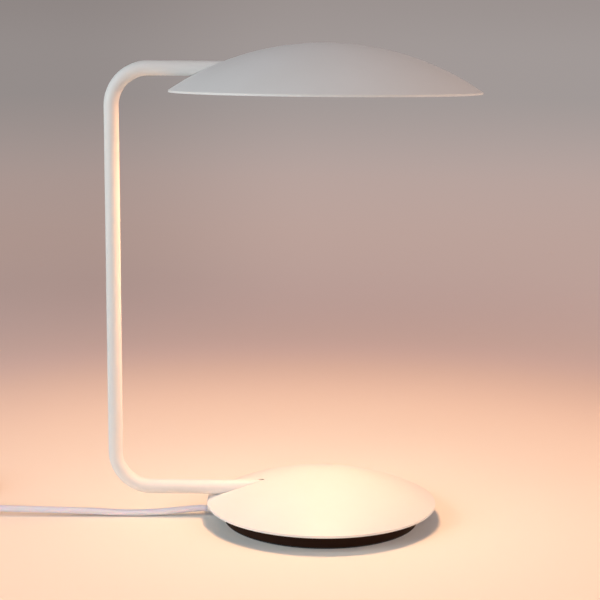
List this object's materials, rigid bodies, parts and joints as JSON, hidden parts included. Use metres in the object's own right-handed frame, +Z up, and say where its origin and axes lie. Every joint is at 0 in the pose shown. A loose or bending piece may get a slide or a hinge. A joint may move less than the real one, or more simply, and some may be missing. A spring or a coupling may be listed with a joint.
{
  "type": "desk lamp",
  "caption": "Desk lamp: a shallow domed shade with a flat opal light, on a bent tube frame that rises from a weighted domed base, with a mains cord, inline rocker switch and plug.",
  "frame": {"origin": "centre of the foot's flat underside, on the surface the lamp stands on, below the shared axis of base and shade", "axes": "+Z up; the upright of the tube stands on the -X side; -Y faces the viewer of the front view"},
  "size_m": [0.5227, 0.325, 0.391],
  "materials": {
    "shade_coat": "fine-textured white powder coat on spun steel",
    "pan_coat": "smooth matt white coat",
    "opal": "opal, evenly diffusing",
    "foam": "soft closed-cell foam",
    "board": "white solder mask",
    "led": "pale yellow phosphor",
    "plated": "zinc-plated screws and straps",
    "pad": "heat-conducting silicone",
    "sheet": "plain rolled sheet",
    "tube_coat": "fine-textured white powder coat on steel tube",
    "guard": "plain",
    "lead": "soft PVC sheath",
    "base_coat": "fine-textured white powder coat on spun steel",
    "casting": "raw casting",
    "foot_black": "satin black",
    "foot_soft": "soft foam pad",
    "driver_case": "plain white case",
    "tape": "foam tape",
    "core": "core insulation",
    "terminal": "off-white",
    "brass": "plain",
    "cord": "white PVC, satin",
    "fittings": "white moulding, satin",
    "rocker": "pale moulding, semi-gloss",
    "tie": "soft hook-and-loop strap",
    "collar": "black insulating sleeve",
    "nickel": "nickel plated"
  },
  "bodies": {
    "lamp": {"shade_shell": "shade_coat", "bottom_pan": "pan_coat", "pan_screws": "pan_coat", "diffuser": "opal", "foam_ring": "foam", "led_board": "board", "led_chips": "led", "board_screws": "plated", "heat_pad": "pad", "heat_plate": "sheet", "plate_screws": "plated", "head_clamp": "plated", "head_clamp_screws": "plated", "frame_tube": "tube_coat", "tube_bushes": "guard", "inner_lead": "lead", "base_cover": "base_coat", "base_clamp": "plated", "base_clamp_screws": "plated", "base_cradle": "casting", "base_weight": "casting", "base_tray": "foot_black", "tray_screws": "plated", "foot_pad": "foot_soft", "led_driver": "driver_case", "driver_tape": "tape", "driver_leads": "core", "terminal_block": "terminal", "terminal_screws": "brass", "mains_tail": "cord", "cord_clamp": "plated", "cord_clamp_screws": "plated", "cord_bush": "fittings", "mains_cord": "cord", "switch_base": "fittings", "switch_cover": "fittings", "rocker_pin": "plated", "switch_contacts": "brass", "switch_wires": "cord", "switch_screws": "plated", "cord_lead_in": "cord", "cord_coil": "cord", "coil_tie": "tie", "cord_tail": "cord", "plug_body": "fittings", "pin_collars": "collar", "plug_pins": "nickel"},
    "rocker": {"switch_rocker": "rocker"}
  },
  "joints": [
    {"name": "rocker_hinge", "type": "hinge", "parent": "lamp", "child": "rocker", "pos_m": [-0.315, -0.004, 0.013], "axis": [0, 1, 0], "range_deg": [0, 14]}
  ]
}
